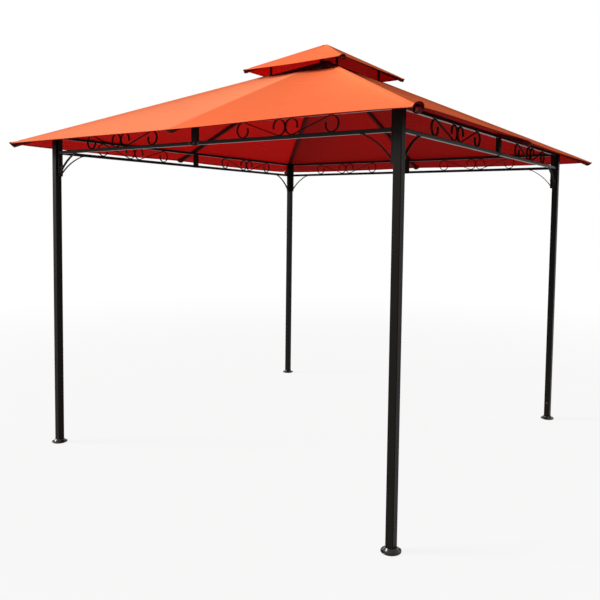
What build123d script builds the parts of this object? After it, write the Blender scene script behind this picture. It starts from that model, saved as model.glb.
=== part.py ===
from build123d import *
import os
from math import asin, atan, cos, degrees, radians, sin, sqrt

# A garden gazebo. Four square steel posts carry scrollwork trusses, a pyramid of square
# tubes and a fabric roof in two tiers with a vent between them. Lengths are millimetres.
# The origin is on the ground in the middle of the posts, +Z is up and the front faces -Y.

# Posts
post_side = 43.0
post_wall = 1.0
post_corner = 3.0  # the tube's eased corners

# Foot plates: cast discs with a raised boss under the post and a stub tube inside it
plate_diameter = 100.0
plate_thickness = 5.0
boss_diameter = 64.0
boss_rise = 18.0
stub_height = 150.0
stub_wall = 1.5
stub_clearance = 0.3  # between the stub and the inside of the post
anchor_circle_diameter = 86.0
anchor_hole_diameter = 10.0
anchor_count = 4

# Trusses: two rails with a pair of S-scrolls in each half, a centre tube and end uprights
truss_height = 103.0  # between the centre lines of the rails
rail_side = 20.0
rail_wall = 0.8
rail_corner = 2.0
centre_tube_width = 43.0  # along the truss
centre_tube_depth = 22.0  # across it
upright_thickness = 18.0
upright_drop = 155.0  # from the bottom rail's centre line to the foot of the upright
scroll_thickness = 4.0
scroll_width = 12.0
scroll_length = 325.0  # one S, from end to end
curl_turn = 205.0  # degrees that the strip goes round at full size
curl_flats = 9  # flats that the rolling leaves on that turn
hook_turn = 108.0  # degrees that its end goes on round at the hook's size
hook_flats = 4
hook_radius_share = 0.85  # of the curl's radius
weld_depth = 0.6  # how far welded pieces run into each other

# Corner braces: a bowed strip from the foot of the upright to a tab under the bottom rail
brace_thickness = 4.0
brace_width = 15.0
brace_run = 156.0
brace_drop = 125.0
brace_bulge = 14.0
brace_flats = 6  # flats that the rolling leaves on the bow
tab_length = 18.0
tab_thickness = 3.0

# Main roof, measured on the upper face of the fabric
eave_side = 3000.0
eave_overhang = 210.0  # from the posts' centre lines out to the eave
eave_height = 2025.0  # at the corner tips
vent_side = 620.0  # the square opening at the top
roof_rise = 525.0  # from the eave up to the vent
fabric_thickness = 3.0
fabric_clearance = 0.3  # between the fabric and the tubes under it
seam_gap = 0.4  # between neighbouring panels at a hip
rafter_side = 25.0
rafter_wall = 0.8
rafter_corner = 2.5
hip_setback = 30.0  # from the canopy's corner to the end of the hip rafter
mid_setback = 36.0  # from the eave to the end of the mid rafter
hub_width = 80.0  # across the flats of the octagon
hub_wall = 2.5
hub_lip = 6.0  # how far the hub stands above and below the rafters

# Top tier
top_overhang = 106.0  # past the edge of the vent
top_lift = 35.0  # from the edge of the vent up to the top tier's eave
top_rise = 215.0  # from that eave up to the peak
top_rafter_side = 20.0
top_rafter_wall = 0.8
top_setback = 14.0
top_hub_width = 44.0
strut_inset = 33.0  # from the edge of the vent to the struts
strut_side = 16.0
strut_wall = 0.8

# End caps
cap_thickness = 4.0
cap_depth = 15.0  # how far the plug reaches into its tube
cap_corner = 1.2  # how far the plug stays inside the tube's wall, clear of its eased corners

# Sizes that follow from these
post_spacing = eave_side - 2 * eave_overhang  # centre to centre along each side
vent_height = eave_height + roof_rise
top_eave_side = vent_side + 2 * top_overhang
top_eave_height = vent_height + top_lift
peak_height = top_eave_height + top_rise
strut_spacing = vent_side - 2 * strut_inset  # between neighbouring struts

# Slopes of the roof and of the hips, which run across the corners
main_slope = 2 * roof_rise / (eave_side - vent_side)
main_pitch = atan(main_slope)
hip_slope = main_slope / sqrt(2)
hip_pitch = atan(hip_slope)
top_slope = 2 * top_rise / top_eave_side
top_pitch = atan(top_slope)
top_hip_slope = top_slope / sqrt(2)
top_hip_pitch = atan(top_hip_slope)


def mid_rafter_top(reach):
    """Height of a mid rafter's upper face at a level distance from the roof's axis."""
    fabric_top = eave_height + main_slope * (eave_side / 2 - reach)
    return fabric_top - fabric_thickness / cos(main_pitch) - fabric_clearance


def mid_rafter_under(reach):
    """Height of a mid rafter's lower face."""
    return mid_rafter_top(reach) - rafter_side / cos(main_pitch)


def hip_rafter_top(reach):
    """Height of a hip rafter's upper face: its two top edges carry the fabric beside the ridge."""
    return mid_rafter_top(reach / sqrt(2)) - hip_slope * rafter_side / 2


def hip_rafter_under(reach):
    """Height of a hip rafter's lower face."""
    return hip_rafter_top(reach) - rafter_side / cos(hip_pitch)


def top_fabric_under(reach):
    """Height of the top canopy's lower face, less the clearance to what is under it."""
    return peak_height - top_slope * reach - fabric_thickness / cos(top_pitch) - fabric_clearance


def top_rafter_top(reach):
    """Height of a top rafter's upper face, measured along the hip."""
    return top_fabric_under(reach / sqrt(2)) - top_hip_slope * top_rafter_side / 2


def top_rafter_under(reach):
    """Height of a top rafter's lower face."""
    return top_rafter_top(reach) - top_rafter_side / cos(top_hip_pitch)


# Places that several pieces share
truss_line = post_spacing / 2  # distance of a truss from the middle
corner_reach = post_spacing / sqrt(2)  # distance of a post from the middle
post_base = plate_thickness + boss_rise
post_bore = post_side - 2 * post_wall
truss_top = mid_rafter_under(truss_line + centre_tube_depth / 2)
top_rail_height = truss_top - rail_side / 2
bottom_rail_height = top_rail_height - truss_height
rail_underside = bottom_rail_height - rail_side / 2
truss_middle = (top_rail_height + bottom_rail_height) / 2
upright_face = truss_line - post_side / 2 - upright_thickness
upright_foot = bottom_rail_height - upright_drop
half_length = upright_face - centre_tube_width / 2
hub_reach = hub_width / 2
top_hub_reach = top_hub_width / 2
strut_reach = strut_spacing / sqrt(2)
hip_end = eave_side / sqrt(2) - hip_setback
mid_end = eave_side / 2 - mid_setback
top_end = top_eave_side / sqrt(2) - top_setback

# Turns about the upright axis that bring a front piece to each side, and to each corner
side_turns = {"front": 0, "right": 90, "back": 180, "left": 270}
corner_turns = {"front_right": 0, "back_right": 90, "back_left": 180, "front_left": 270}
corner_angle = 45  # from the middle of a side to the next corner

os.makedirs("parts", exist_ok=True)


def write_node(piece, name, turn=0):
    """Turn a finished piece about the upright axis, label it and write it as its own node."""
    node = piece.part.rotate(Axis.Z, turn)
    node.label = name
    export_step(node, f"parts/{name}.step")


# Foot plates, made on the front axis and turned out to the corners
with BuildPart() as foot_plate:
    with BuildSketch(Plane.XZ.offset(corner_reach)):
        with BuildLine():
            Polyline(
                (0, 0),
                (plate_diameter / 2, 0),
                (plate_diameter / 2, plate_thickness),
                (boss_diameter / 2, plate_thickness),
                (boss_diameter / 2, post_base),
                (0, post_base),
                close=True,
            )
        make_face()
    revolve(axis=Axis((0, -corner_reach, 0), (0, 0, 1)))
    with Locations((0, -corner_reach, plate_thickness)):
        with PolarLocations(anchor_circle_diameter / 2, anchor_count):
            Hole(anchor_hole_diameter / 2)
    with BuildSketch(Plane.XY.offset(post_base)) as stub_section:
        with Locations((0, -corner_reach)):
            stub_side = post_bore - 2 * stub_clearance
            Rectangle(stub_side, stub_side, rotation=corner_angle)
        chamfer(stub_section.vertices(), post_corner)
        offset(amount=-stub_wall, kind=Kind.INTERSECTION, mode=Mode.SUBTRACT)
    extrude(amount=stub_height)

# Posts: the top is cut to the slope of the hip rafter that lies on it
hip_seat = Plane(
    origin=(0, -corner_reach, hip_rafter_under(corner_reach)),
    x_dir=(1, 0, 0),
    z_dir=(0, -sin(hip_pitch), cos(hip_pitch)),
)
with BuildPart() as post:
    with BuildSketch(Plane.XY.offset(post_base)) as post_section:
        with Locations((0, -corner_reach)):
            Rectangle(post_side, post_side, rotation=corner_angle)
        chamfer(post_section.vertices(), post_corner)
        offset(amount=-post_wall, kind=Kind.INTERSECTION, mode=Mode.SUBTRACT)
    extrude(amount=hip_rafter_under(corner_reach) + post_side - post_base)
    split(bisect_by=hip_seat, keep=Keep.BOTTOM)


def scroll_outline(hand):
    """Outline of one S: a curl, a slanting bar and the same curl the other way up.

    The bar is the cross tangent of two equal circles, so its slope follows from their
    radius and distance. Each curl runs on round its circle and ends in a tighter hook.
    """
    outer_radius = (truss_height - rail_side) / 2 + weld_depth
    radius = outer_radius - scroll_thickness / 2
    hook_radius = radius * hook_radius_share
    curl_offset = scroll_length / 2 - outer_radius
    bar_end = degrees(asin(radius / curl_offset)) - 90
    curl_end = bar_end - curl_turn
    hook_shift = radius - hook_radius

    def edge(end, gap):
        """One edge of half the S from the tip of its hook to the bar, gap outside the centre line."""
        points = []
        for flat in range(hook_flats):
            angle = radians(curl_end - hook_turn * (1 - flat / hook_flats))
            along = hook_shift * cos(radians(curl_end)) + (hook_radius + gap) * cos(angle)
            up = hook_shift * sin(radians(curl_end)) + (hook_radius + gap) * sin(angle)
            points.append((along, up))
        for flat in range(curl_flats + 1):
            angle = radians(curl_end + curl_turn * flat / curl_flats)
            points.append(((radius + gap) * cos(angle), (radius + gap) * sin(angle)))
        panel_middle = centre_tube_width / 2 + half_length / 2
        middle = scroll_length / 2 - weld_depth
        return [
            (panel_middle + hand * (middle + end * (along - curl_offset)), truss_middle + end * up)
            for along, up in points
        ]

    half = scroll_thickness / 2
    return edge(1, half) + edge(-1, -half)[::-1] + edge(-1, half) + edge(1, -half)[::-1]


# Right half of the front truss: the scrolls are welded between the rails and to each other
with BuildPart() as truss_half:
    with BuildSketch(Plane.YZ.offset(centre_tube_width / 2)) as rail_sections:
        with Locations((-truss_line, top_rail_height), (-truss_line, bottom_rail_height)):
            Rectangle(rail_side, rail_side)
        chamfer(rail_sections.vertices(), rail_corner)
        offset(amount=-rail_wall, kind=Kind.INTERSECTION, mode=Mode.SUBTRACT)
    extrude(amount=half_length)
    with BuildSketch(Plane.XZ.offset(truss_line)):
        for hand in (1, -1):
            with BuildLine():
                Polyline(*scroll_outline(hand), close=True)
            make_face()
    extrude(amount=scroll_width / 2, both=True)

with BuildPart() as truss_other_half:
    mirror(truss_half.part, about=Plane.YZ)

# The tubes between the truss halves, one in the middle of each side
with BuildPart() as truss_centre_tubes:
    with BuildSketch(Plane.XY.offset(rail_underside)) as centre_sections:
        with PolarLocations(truss_line, len(side_turns)):
            Rectangle(centre_tube_depth, centre_tube_width)
        chamfer(centre_sections.vertices(), rail_corner)
        offset(amount=-rail_wall, kind=Kind.INTERSECTION, mode=Mode.SUBTRACT)
    extrude(amount=truss_top - rail_underside)

# Braces of the front right corner: the front truss's upright and strip, then the right truss's
with BuildPart() as corner_brace:
    with BuildSketch(Plane.XZ.offset(truss_line)):
        with BuildLine():
            bow = SagittaArc(
                (upright_face - brace_run, rail_underside),
                (upright_face + weld_depth, rail_underside - brace_drop),
                brace_bulge,
                mode=Mode.PRIVATE,
            )
            bow_shares = [flat / brace_flats for flat in range(brace_flats + 1)]
            skins = [(bow % share).rotate(Axis.Z, 90) * (brace_thickness / 2) for share in bow_shares]
            upper = [bow @ share + skin for share, skin in zip(bow_shares, skins)]
            lower = [bow @ share - skin for share, skin in zip(bow_shares, skins)]
            Polyline(*upper, *reversed(lower), close=True)
        make_face()
    extrude(amount=brace_width / 2, both=True)
    split(bisect_by=Plane.XY.offset(rail_underside), keep=Keep.BOTTOM)
    with BuildSketch(Plane.XY.offset(rail_underside)):
        with Locations((upright_face - brace_run, -truss_line)):
            Rectangle(tab_length, brace_width)
    extrude(amount=-tab_thickness)
    with BuildSketch(Plane.XY.offset(upright_foot)) as upright_section:
        with Locations((upright_face + upright_thickness / 2, -truss_line)):
            Rectangle(upright_thickness, rail_side)
        chamfer(upright_section.vertices(), rail_corner)
        offset(amount=-rail_wall, kind=Kind.INTERSECTION, mode=Mode.SUBTRACT)
    extrude(amount=truss_top - upright_foot)
    mirror(about=Plane(origin=(0, 0, 0), z_dir=(1, 1, 0)))


def make_rafter(end, end_top, pitch, side, wall, root):
    """Square tube over the front axis, from its free end up to an upright cut at its root."""
    with BuildPart() as rafter:
        end_plane = Plane(
            origin=(0, -end, end_top - side / (2 * cos(pitch))),
            x_dir=(1, 0, 0),
            z_dir=(0, cos(pitch), sin(pitch)),
        )
        with BuildSketch(end_plane) as section:
            Rectangle(side, side)
            chamfer(section.vertices(), rafter_corner)
            offset(amount=-wall, kind=Kind.INTERSECTION, mode=Mode.SUBTRACT)
        extrude(amount=(end - root) / cos(pitch) + side)
        split(bisect_by=Plane.XZ.offset(root), keep=Keep.TOP)
    return rafter


def make_cap(end, end_top, pitch, side, wall):
    """Plug for the free end of a rafter, with a flange as wide as the tube."""
    with BuildPart() as cap:
        end_plane = Plane(
            origin=(0, -end, end_top - side / (2 * cos(pitch))),
            x_dir=(1, 0, 0),
            z_dir=(0, cos(pitch), sin(pitch)),
        )
        with BuildSketch(end_plane) as flange:
            Rectangle(side, side)
            chamfer(flange.vertices(), rafter_corner)
        extrude(amount=-cap_thickness)
        with BuildSketch(end_plane):
            plug_side = side - 2 * (wall + cap_corner)
            Rectangle(plug_side, plug_side)
        extrude(amount=cap_depth)
    return cap


# Rafters and their caps, all made over the front axis
hip_rafter = make_rafter(
    hip_end, hip_rafter_top(hip_end), hip_pitch, rafter_side, rafter_wall, hub_reach
)
mid_rafter = make_rafter(
    mid_end, mid_rafter_top(mid_end), main_pitch, rafter_side, rafter_wall, hub_reach
)
top_rafter = make_rafter(
    top_end, top_rafter_top(top_end), top_hip_pitch, top_rafter_side, top_rafter_wall, top_hub_reach
)
hip_cap = make_cap(hip_end, hip_rafter_top(hip_end), hip_pitch, rafter_side, rafter_wall)
mid_cap = make_cap(mid_end, mid_rafter_top(mid_end), main_pitch, rafter_side, rafter_wall)
top_cap = make_cap(top_end, top_rafter_top(top_end), top_hip_pitch, top_rafter_side, top_rafter_wall)

with BuildPart() as rafter_end_caps:
    with PolarLocations(0, len(corner_turns), start_angle=corner_angle):
        add(hip_cap.part)
        add(top_cap.part)
    with PolarLocations(0, len(side_turns)):
        add(mid_cap.part)

# Hub of the main roof: an octagonal pressing, open below, with a rafter against each flat
with BuildPart() as roof_hub:
    hub_sides = len(side_turns) + len(corner_turns)
    hub_bottom = min(mid_rafter_under(hub_reach), hip_rafter_under(hub_reach)) - hub_lip
    hub_top = max(mid_rafter_top(hub_reach), hip_rafter_top(hub_reach)) + hub_lip
    with BuildSketch(Plane.XY.offset(hub_bottom)):
        RegularPolygon(hub_reach, hub_sides, major_radius=False, rotation=corner_angle / 2)
    extrude(amount=hub_top - hub_bottom)
    with BuildSketch(Plane.XY.offset(hub_bottom)):
        RegularPolygon(hub_reach - hub_wall, hub_sides, major_radius=False, rotation=corner_angle / 2)
    extrude(amount=hub_top - hub_bottom - hub_wall, mode=Mode.SUBTRACT)

# Struts of the top tier: cut below to the hip rafter and above to the top rafter
strut_foot = Plane(
    origin=(0, -strut_reach, hip_rafter_top(strut_reach)),
    x_dir=(1, 0, 0),
    z_dir=(0, -sin(hip_pitch), cos(hip_pitch)),
)
strut_head = Plane(
    origin=(0, -strut_reach, top_rafter_under(strut_reach)),
    x_dir=(1, 0, 0),
    z_dir=(0, -sin(top_hip_pitch), cos(top_hip_pitch)),
)
with BuildPart() as strut:
    with BuildSketch(Plane.XY.offset(hip_rafter_top(strut_reach) - strut_side)):
        with Locations((0, -strut_reach)):
            Rectangle(strut_side, strut_side)
            Rectangle(strut_side - 2 * strut_wall, strut_side - 2 * strut_wall, mode=Mode.SUBTRACT)
    extrude(amount=top_rafter_under(strut_reach) - hip_rafter_top(strut_reach) + 2 * strut_side)
    split(bisect_by=strut_foot, keep=Keep.TOP)
    split(bisect_by=strut_head, keep=Keep.BOTTOM)

with BuildPart() as vent_struts:
    with PolarLocations(0, len(corner_turns), start_angle=corner_angle):
        add(strut.part)

# Hub of the top tier: a small square block on edge to the sides, with a rafter on each face
with BuildPart() as top_hub:
    top_hub_bottom = top_rafter_under(top_hub_reach)
    with BuildSketch(Plane.XY.offset(top_hub_bottom)):
        Rectangle(top_hub_width, top_hub_width, rotation=corner_angle)
    extrude(amount=top_fabric_under(top_hub_width / sqrt(2)) - top_hub_bottom)


def make_panel(outer_reach, outer_height, inner_reach, inner_height, pitch):
    """Flat fabric panel over the front side, cut off at the upright planes through its two hips."""
    drop = fabric_thickness / cos(pitch)
    with BuildPart() as panel:
        with BuildSketch(Plane.YZ):
            with BuildLine():
                Polyline(
                    (-outer_reach, outer_height),
                    (-inner_reach, inner_height),
                    (-inner_reach, inner_height - drop),
                    (-outer_reach, outer_height - drop),
                    close=True,
                )
            make_face()
        extrude(amount=outer_reach, both=True)
        for hand in (1, -1):
            hip = Plane(origin=(0, 0, 0), z_dir=(hand, 1, 0))
            split(bisect_by=hip.offset(-seam_gap / 2), keep=Keep.BOTTOM)
    return panel


lower_panel = make_panel(eave_side / 2, eave_height, vent_side / 2, vent_height, main_pitch)
top_panel = make_panel(top_eave_side / 2, top_eave_height, 0, peak_height, top_pitch)

# Nodes
for side, turn in side_turns.items():
    write_node(truss_other_half, f"{side}_truss_left", turn)
    write_node(truss_half, f"{side}_truss_right", turn)
    write_node(mid_rafter, f"{side}_mid_rafter", turn)
    write_node(lower_panel, f"lower_canopy_{side}", turn)
    write_node(top_panel, f"top_canopy_{side}", turn)

for corner, turn in corner_turns.items():
    write_node(post, f"{corner}_post", turn + corner_angle)
    write_node(foot_plate, f"{corner}_foot_plate", turn + corner_angle)
    write_node(hip_rafter, f"{corner}_hip_rafter", turn + corner_angle)
    write_node(top_rafter, f"{corner}_top_rafter", turn + corner_angle)
    write_node(corner_brace, f"{corner}_braces", turn)

write_node(truss_centre_tubes, "truss_centre_tubes")
write_node(roof_hub, "roof_hub")
write_node(vent_struts, "vent_struts")
write_node(top_hub, "top_hub")
write_node(rafter_end_caps, "rafter_end_caps")
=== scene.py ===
import math
from dataclasses import dataclass
from functools import cached_property, partial

import bmesh
import bpy
import numpy as np
from bpy.props import FloatProperty, FloatVectorProperty, IntProperty, PointerProperty
from bpy.types import Operator, Panel, PropertyGroup
from mathutils import Matrix, Vector


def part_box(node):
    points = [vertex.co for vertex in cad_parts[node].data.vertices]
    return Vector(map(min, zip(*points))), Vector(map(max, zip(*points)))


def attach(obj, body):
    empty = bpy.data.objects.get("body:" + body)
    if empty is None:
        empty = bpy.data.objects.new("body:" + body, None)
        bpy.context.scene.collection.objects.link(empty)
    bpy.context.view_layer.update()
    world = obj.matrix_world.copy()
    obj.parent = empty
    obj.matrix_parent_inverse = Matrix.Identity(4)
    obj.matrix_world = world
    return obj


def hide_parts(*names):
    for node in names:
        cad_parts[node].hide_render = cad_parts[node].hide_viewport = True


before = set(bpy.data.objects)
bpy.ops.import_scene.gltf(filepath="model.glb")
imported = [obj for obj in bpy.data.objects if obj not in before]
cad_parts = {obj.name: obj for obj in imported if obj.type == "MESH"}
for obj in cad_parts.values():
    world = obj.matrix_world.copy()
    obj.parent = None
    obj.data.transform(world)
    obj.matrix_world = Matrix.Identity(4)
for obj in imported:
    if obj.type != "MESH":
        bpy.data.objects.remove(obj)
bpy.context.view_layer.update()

bl_info = {
    "name": "Garden gazebo",
    "version": (1, 0, 0),
    "blender": (4, 5, 0),
    "location": "3D View > Sidebar > Gazebo",
    "description": "Dresses the frame of a garden gazebo with its canopies, fittings and finishes",
    "category": "Object",
}

ROOT_TWO = math.sqrt(2)
SIDES = 4
SIDE_NAMES = ("front", "right", "back", "left")
CORNER_NAMES = ("front_right", "back_right", "back_left", "front_left")

# Places read from the frame; the canopies' are on the cloth's upper face
LOWER_LOW, LOWER_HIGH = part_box("lower_canopy_front")
UPPER_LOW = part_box("top_canopy_front")[0]
CAD_CLOTH = 0.003  # thickness of the CAD panels
CLEARANCE = 0.0003  # between the CAD panels and the tubes under them
EAVE_HALF = -LOWER_LOW.y
VENT_HALF = -LOWER_HIGH.y
VENT_HEIGHT = LOWER_HIGH.z
MAIN_SLOPE = 0.525 / 1.19  # rise over run of the lower roof
EAVE_HEIGHT = VENT_HEIGHT - MAIN_SLOPE * (EAVE_HALF - VENT_HALF)
TOP_EAVE_HALF = -UPPER_LOW.y
PEAK_HEIGHT = 2.8
TOP_SLOPE = 0.215 / 0.416  # rise over run of the top roof
TOP_EAVE_HEIGHT = PEAK_HEIGHT - TOP_SLOPE * TOP_EAVE_HALF
POST_LOW, POST_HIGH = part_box("front_right_post")
POST_LINE = (POST_LOW.x + POST_HIGH.x) / 2  # a post's middle from the roof's axis
POST_SIDE = POST_HIGH.x - POST_LOW.x
RAIL_SIDE = 0.02
CENTRE_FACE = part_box("truss_centre_tubes")[1].x  # outer face of a truss's centre tube
TRUSS_LOW, TRUSS_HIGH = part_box("front_truss_right")
TRUSS_START = TRUSS_LOW.x  # side of that tube, where a rail starts
UPRIGHT_FACE = TRUSS_HIGH.x  # where the rail ends
BOTTOM_RAIL = TRUSS_LOW.z + RAIL_SIDE / 2
TOP_RAIL = TRUSS_HIGH.z - RAIL_SIDE / 2
PLATE_LOW, PLATE_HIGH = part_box("front_right_foot_plate")

# Settings

LengthProperty = partial(FloatProperty, unit="LENGTH")
ColourProperty = partial(FloatVectorProperty, size=3, min=0.0, max=1.0, subtype="COLOR")


class CanopySettings(PropertyGroup):
    """Sizes and colours of the cloth."""

    cloth_thickness: LengthProperty(
        name="Cloth thickness", description="Coated polyester, with its coating",
        default=0.0014, min=0.0005, max=0.003,
    )
    sag: LengthProperty(
        name="Sag", description="Depth of the lower canopy between two rafters",
        default=0.039, min=0.0, max=0.05,
    )
    top_sag: LengthProperty(
        name="Top sag", description="Depth of the top canopy between its hips",
        default=0.009, min=0.0, max=0.03,
    )
    ripple: LengthProperty(
        name="Ripple", description="Height of the faint creases left by folding",
        default=0.0042, min=0.0, max=0.006,
    )
    hood_rise: FloatVectorProperty(
        name="Hood rise", description="Height of each corner's hood over the hip, from the front right round",
        default=(0.019, -0.002, 0.006, 0.005), size=4, min=-0.02, max=0.04, unit="LENGTH",
    )
    hood_inset: FloatVectorProperty(
        name="Hood inset",
        description="Distance of each hood's lip from the corner, from the front right round",
        default=(0.028, 0.003, 0.009, 0.004), size=4, min=0.0, max=0.06, unit="LENGTH",
    )
    droop: FloatVectorProperty(
        name="Edge droop",
        description="Fall of the free edge on each half of a side, from the front's left half round",
        default=(-0.004, -0.012, -0.009, 0.003, 0.003, 0.003, 0.003, 0.003),
        size=8, min=-0.03, max=0.03, unit="LENGTH",
    )
    droop_start: FloatVectorProperty(
        name="Droop start",
        description="Share of each half side, from its mid rafter, over which that fall sets in",
        default=(0.5, 0.65, 0.06, 0.3, 0.3, 0.3, 0.3, 0.3), size=8, min=0.01, max=1.0,
    )
    hem_width: LengthProperty(
        name="Hem width", description="Width of the turned hem at the eaves",
        default=0.022, min=0.005, max=0.06,
    )
    seam_width: LengthProperty(
        name="Seam width", description="Width of the felled seam along each hip",
        default=0.016, min=0.004, max=0.04,
    )
    colour: ColourProperty(
        name="Cloth colour", description="Upper face of the cloth", default=(0.97, 0.188, 0.07),
    )
    # Painted sheen: a lighter, whiter copy of the cloth colour for the left half of the front slope
    pale: ColourProperty(
        name="Pale colour", description="Upper face of the cloth left of the front's mid rafter",
        default=(0.98, 0.255, 0.118),
    )
    lining: ColourProperty(
        name="Lining colour", description="Coated lower face of the cloth", default=(0.2, 0.0135, 0.012),
    )
    seed: IntProperty(
        name="Crease seed", description="Chooses where the faint creases lie", default=11, min=0,
    )


class SteelSettings(PropertyGroup):
    """Sizes and colours of the painted steel and its fastenings."""

    colour: ColourProperty(
        name="Paint colour", description="Powder coat of the frame", default=(0.0062, 0.0049, 0.0036),
    )
    # Painted red bounce light: the scrolls' dark coat is tinted by the red light from the cloth
    scroll_colour_red_bounce: ColourProperty(
        name="Scroll colour",
        description="The same coat on the scrolls, slightly warm from the cloth behind them",
        default=(0.02, 0.0052, 0.0046),
    )
    rafter_colour: ColourProperty(
        name="Rafter colour",
        description="The same coat on the rafters, warmed by the red light under the cloth",
        default=(0.06, 0.0075, 0.0065),
    )
    roughness: FloatProperty(
        name="Paint roughness", description="Gloss of the powder coat",
        default=0.38, min=0.05, max=1.0, subtype="FACTOR",
    )
    bolt_colour: ColourProperty(
        name="Bolt colour", description="Plated bolts and washers", default=(0.06, 0.057, 0.052),
    )
    bolt_width: LengthProperty(
        name="Bolt width", description="Across the flats of a bolt's head",
        default=0.009, min=0.004, max=0.03,
    )
    plate_diameter: LengthProperty(
        name="Foot diameter", description="Diameter of a foot plate",
        default=PLATE_HIGH.x - PLATE_LOW.x, min=0.05, max=0.2,
    )


class StageSettings(PropertyGroup):
    """Camera, floor and light."""

    camera_place: FloatVectorProperty(
        name="Camera", description="Place of the camera", default=(2.7234, -3.9935, 1.57),
        size=3, subtype="XYZ", unit="LENGTH",
    )
    camera_turn: FloatVectorProperty(
        name="Camera turn", description="Heading, pitch and roll of the camera",
        default=(math.radians(-33.993), math.radians(-3.554), math.radians(0.831)),
        size=3, subtype="EULER", unit="ROTATION",
    )
    focal_share: FloatProperty(
        name="Focal length", description="Focal length as a share of the picture's width",
        default=665.1 / 600, min=0.2, max=10.0,
    )
    shift: FloatVectorProperty(
        name="Shift", description="Shift of the picture as a share of its width",
        default=(-0.0443, -0.0703), size=2,
    )
    key_strength: FloatProperty(
        name="Key light", description="Strength of the main light", default=4.0, min=0.0, max=10.0,
    )
    fill_strength: FloatProperty(
        name="Fill light", description="Strength of the light from all round", default=0.4, min=0.0, max=3.0,
    )
    floor_colour: ColourProperty(
        name="Floor colour", description="Plain pale floor", default=(0.62, 0.61, 0.6),
    )


# Meshes


def grid_faces(rows, columns, wrap_columns=False, wrap_rows=False):
    """Quads of a grid of points counted row by row; a wrapped direction joins its last line to its first."""
    down = np.arange(rows if wrap_rows else rows - 1)
    over = np.arange(columns if wrap_columns else columns - 1)
    i, j = np.meshgrid(down, over, indexing="ij")
    i_next, j_next = (i + 1) % rows, (j + 1) % columns
    corners = (i * columns + j, i_next * columns + j, i_next * columns + j_next, i * columns + j_next)
    return vectors(*corners).reshape(-1, 4)


def vectors(*parts):
    """Arrays of coordinates, stretched to one shape, as points or pairs."""
    return np.stack(np.broadcast_arrays(*parts), axis=-1)


def corner_values(values):
    """Values on the points of a grid at the corners of its quads, in the order of grid_faces."""
    return np.stack([values[:-1, :-1], values[1:, :-1], values[1:, 1:], values[:-1, 1:]], axis=2)


def on_circle(angle):
    """Flat points on a circle of radius 1."""
    return vectors(np.cos(angle), np.sin(angle))


def round_angles(count):
    """Angles spaced evenly round a ring."""
    return np.arange(count) * 2 * np.pi / count


def squared_ring(angle, power):
    """A ring between a circle, power 1, and a square, power 0, by powers of cosine and sine."""
    c, s = np.cos(angle), np.sin(angle)
    return np.sign(c) * np.abs(c) ** power, np.sign(s) * np.abs(s) ** power


def make_piece(name, shell, materials, uv=None, finish=None, closed=False, sharp=None):
    """A mesh object from points and arrays of faces, riding on the root body.

    uv holds one pair for each face corner, finish the number of each face's material. A closed
    shell gets its normals turned outwards.
    """
    points, faces = shell
    mesh = bpy.data.meshes.new(name)
    mesh.from_pydata(points.reshape(-1, 3).tolist(), [], [face for block in faces for face in block.tolist()])
    if uv is not None:
        layer = mesh.uv_layers.new(name="Cloth")
        layer.data.foreach_set("uv", np.asarray(uv, np.float32).ravel())
    if closed:
        work = bmesh.new()
        work.from_mesh(mesh)
        bmesh.ops.recalc_face_normals(work, faces=work.faces)
        work.to_mesh(mesh)
        work.free()
    mesh.polygons.foreach_set("use_smooth", np.ones(len(mesh.polygons), bool))
    if finish is not None:
        mesh.polygons.foreach_set("material_index", np.asarray(finish, np.int32))
    if sharp is not None:
        mesh.set_sharp_from_angle(angle=sharp)
    for material in materials:
        mesh.materials.append(material)
    mesh.update()
    piece = bpy.data.objects.new(name, mesh)
    bpy.context.scene.collection.objects.link(piece)
    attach(piece, "root")
    return piece


def thicken(piece, thickness, lining=0):
    """Thickness for a piece of cloth, inwards; the inner face's material lies lining places on."""
    wall = piece.modifiers.new("Cloth thickness", "SOLIDIFY")
    wall.thickness = thickness
    wall.offset = -1
    wall.material_offset = lining


def joined(shells):
    """Several shells, each of points and arrays of faces, as one."""
    starts = np.cumsum([0] + [len(points) for points, _ in shells])
    points = np.concatenate([points for points, _ in shells])
    return points, [block + start for (_, faces), start in zip(shells, starts) for block in faces]


def turned(points, quarter):
    """Points turned about the upright axis by a number of quarter turns."""
    c, s = ((1, 0), (0, 1), (-1, 0), (0, -1))[quarter % 4]
    x, y, z = np.moveaxis(points, -1, 0)
    return vectors(c * x - s * y, s * x + c * y, z)


def tube_of_rings(rings):
    """A shell through rings of points, closed by a flat face at each end."""
    rows, columns = rings.shape[:2]
    ring = np.arange(columns)
    ends = np.stack([ring[::-1], (rows - 1) * columns + ring])
    return rings.reshape(-1, 3), [grid_faces(rows, columns, wrap_columns=True), ends]


def lathe(radii, heights, segments, flats=None):
    """A profile of radii and heights carried round the upright axis, flat at both ends.

    Where flats is 1 the ring is a hexagon: its radius is the flat's distance over the cosine of the
    angle from the middle of the flat.
    """
    angle = round_angles(segments)
    radii, heights = np.asarray(radii)[:, None], np.asarray(heights)[:, None]
    hexagon = 1 / np.cos((angle % (np.pi / 3)) - np.pi / 6)
    flats = np.zeros(len(radii)) if flats is None else np.asarray(flats)
    reach = radii * np.where(flats[:, None] > 0, hexagon, 1.0)
    return tube_of_rings(vectors(reach * np.cos(angle), reach * np.sin(angle), heights))


def copies(shell, places, axes):
    """The same shell at several places, its upright axis turned to each given axis."""
    points, faces = shell
    axes = np.asarray(axes, float)
    helper = np.where(np.abs(axes[:, 2:]) > 0.9, [[1.0, 0, 0]], [[0, 0, 1.0]])
    side = np.cross(helper, axes)
    side /= np.linalg.norm(side, axis=1, keepdims=True)
    frames = np.stack([side, np.cross(axes, side), axes], axis=1)
    moved = np.einsum("pk,nkd->npd", points, frames) + np.asarray(places)[:, None, :]
    return joined([(one, faces) for one in moved])


# Scrollwork

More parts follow.
